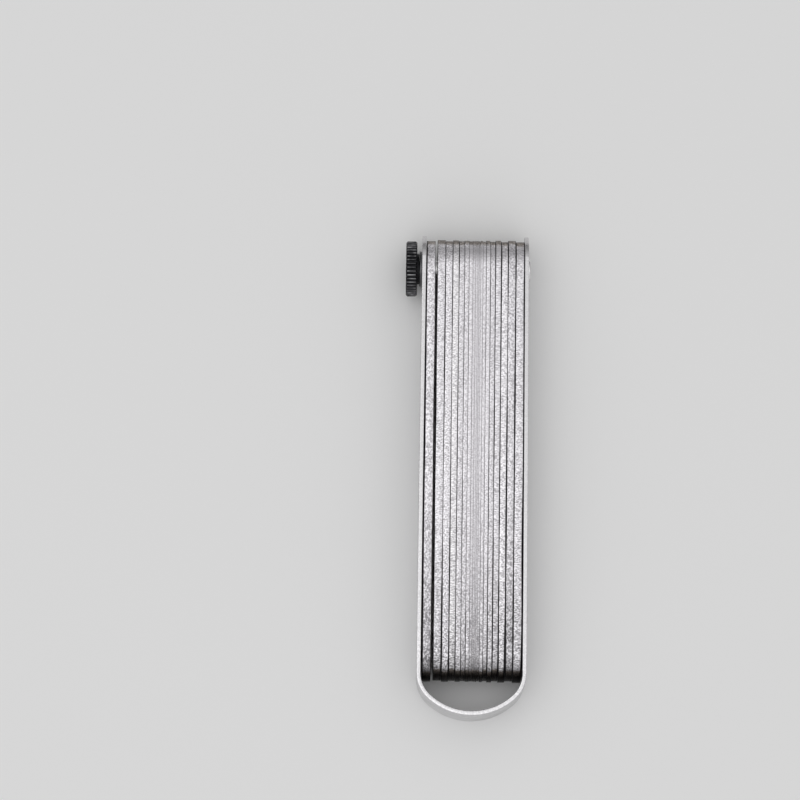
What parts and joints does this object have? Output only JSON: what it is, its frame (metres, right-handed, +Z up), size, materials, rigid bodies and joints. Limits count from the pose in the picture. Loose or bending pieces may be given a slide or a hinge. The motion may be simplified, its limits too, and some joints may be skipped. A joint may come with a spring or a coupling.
{
  "type": "feeler gauge",
  "caption": "Feeler gauge: round-ended flat steel blades of stepped thickness swing on a pivot screw with a knurled clamping nut, kept in a bow of bent steel strip.",
  "frame": {"origin": "middle of the gauge's footprint, on the surface it lies on", "axes": "+X along the pivot screw from the nut towards the screw head, +Y along the blades towards the pivot, +Z up, across the width of the blades"},
  "size_m": [0.0282, 0.1092, 0.014],
  "materials": {
    "blade_steel": "ground spring steel, grainy on the cut edges",
    "bow_steel": "polished spring steel",
    "screw_steel": "bright turned steel",
    "washer_steel": "stamped steel, darkened",
    "nut_black": "blackened steel, brighter on the ridges"
  },
  "bodies": {
    "bow": {"bow": "bow_steel", "pivot_screw": "screw_steel"},
    "washer": {"washer": "washer_steel"},
    "nut": {"knurled_nut": "nut_black"},
    "blade_01": {"blade_01": "blade_steel"},
    "blade_02": {"blade_02": "blade_steel"},
    "blade_03": {"blade_03": "blade_steel"},
    "blade_04": {"blade_04": "blade_steel"},
    "blade_05": {"blade_05": "blade_steel"},
    "blade_06": {"blade_06": "blade_steel"},
    "blade_07": {"blade_07": "blade_steel"},
    "blade_08": {"blade_08": "blade_steel"},
    "blade_09": {"blade_09": "blade_steel"},
    "blade_10": {"blade_10": "blade_steel"},
    "blade_11": {"blade_11": "blade_steel"},
    "blade_12": {"blade_12": "blade_steel"},
    "blade_13": {"blade_13": "blade_steel"},
    "blade_14": {"blade_14": "blade_steel"},
    "blade_15": {"blade_15": "blade_steel"},
    "blade_16": {"blade_16": "blade_steel"},
    "blade_17": {"blade_17": "blade_steel"},
    "blade_18": {"blade_18": "blade_steel"},
    "blade_19": {"blade_19": "blade_steel"},
    "blade_20": {"blade_20": "blade_steel"}
  },
  "joints": [
    {"name": "clamp_travel", "type": "slide", "parent": "bow", "child": "washer", "axis": [-1, 0, 0], "range_m": [0, 0.0014]},
    {"name": "nut_turn", "type": "hinge", "parent": "washer", "child": "nut", "pos_m": [0.0015, 0.0471, 0.007], "axis": [-1, 0, 0], "range_deg": [0, 720]},
    {"name": "blade_01_swing", "type": "hinge", "parent": "bow", "child": "blade_01", "pos_m": [0.0015, 0.0471, 0.007], "axis": [-1, 0, 0], "continuous": true},
    {"name": "blade_02_swing", "type": "hinge", "parent": "bow", "child": "blade_02", "pos_m": [0.0015, 0.0471, 0.007], "axis": [-1, 0, 0], "continuous": true},
    {"name": "blade_03_swing", "type": "hinge", "parent": "bow", "child": "blade_03", "pos_m": [0.0015, 0.0471, 0.007], "axis": [-1, 0, 0], "continuous": true},
    {"name": "blade_04_swing", "type": "hinge", "parent": "bow", "child": "blade_04", "pos_m": [0.0015, 0.0471, 0.007], "axis": [-1, 0, 0], "continuous": true},
    {"name": "blade_05_swing", "type": "hinge", "parent": "bow", "child": "blade_05", "pos_m": [0.0015, 0.0471, 0.007], "axis": [-1, 0, 0], "continuous": true},
    {"name": "blade_06_swing", "type": "hinge", "parent": "bow", "child": "blade_06", "pos_m": [0.0015, 0.0471, 0.007], "axis": [-1, 0, 0], "continuous": true},
    {"name": "blade_07_swing", "type": "hinge", "parent": "bow", "child": "blade_07", "pos_m": [0.0015, 0.0471, 0.007], "axis": [-1, 0, 0], "continuous": true},
    {"name": "blade_08_swing", "type": "hinge", "parent": "bow", "child": "blade_08", "pos_m": [0.0015, 0.0471, 0.007], "axis": [-1, 0, 0], "continuous": true},
    {"name": "blade_09_swing", "type": "hinge", "parent": "bow", "child": "blade_09", "pos_m": [0.0015, 0.0471, 0.007], "axis": [-1, 0, 0], "continuous": true},
    {"name": "blade_10_swing", "type": "hinge", "parent": "bow", "child": "blade_10", "pos_m": [0.0015, 0.0471, 0.007], "axis": [-1, 0, 0], "continuous": true},
    {"name": "blade_11_swing", "type": "hinge", "parent": "bow", "child": "blade_11", "pos_m": [0.0015, 0.0471, 0.007], "axis": [-1, 0, 0], "continuous": true},
    {"name": "blade_12_swing", "type": "hinge", "parent": "bow", "child": "blade_12", "pos_m": [0.0015, 0.0471, 0.007], "axis": [-1, 0, 0], "continuous": true},
    {"name": "blade_13_swing", "type": "hinge", "parent": "bow", "child": "blade_13", "pos_m": [0.0015, 0.0471, 0.007], "axis": [-1, 0, 0], "continuous": true},
    {"name": "blade_14_swing", "type": "hinge", "parent": "bow", "child": "blade_14", "pos_m": [0.0015, 0.0471, 0.007], "axis": [-1, 0, 0], "continuous": true},
    {"name": "blade_15_swing", "type": "hinge", "parent": "bow", "child": "blade_15", "pos_m": [0.0015, 0.0471, 0.007], "axis": [-1, 0, 0], "continuous": true},
    {"name": "blade_16_swing", "type": "hinge", "parent": "bow", "child": "blade_16", "pos_m": [0.0015, 0.0471, 0.007], "axis": [-1, 0, 0], "continuous": true},
    {"name": "blade_17_swing", "type": "hinge", "parent": "bow", "child": "blade_17", "pos_m": [0.0015, 0.0471, 0.007], "axis": [-1, 0, 0], "continuous": true},
    {"name": "blade_18_swing", "type": "hinge", "parent": "bow", "child": "blade_18", "pos_m": [0.0015, 0.0471, 0.007], "axis": [-1, 0, 0], "continuous": true},
    {"name": "blade_19_swing", "type": "hinge", "parent": "bow", "child": "blade_19", "pos_m": [0.0015, 0.0471, 0.007], "axis": [-1, 0, 0], "continuous": true},
    {"name": "blade_20_swing", "type": "hinge", "parent": "bow", "child": "blade_20", "pos_m": [0.0015, 0.0471, 0.007], "axis": [-1, 0, 0], "continuous": true}
  ],
  "couplings": [
    {"joint": "nut_turn", "follows": "clamp_travel", "rad_per_m": 8975.9}
  ]
}
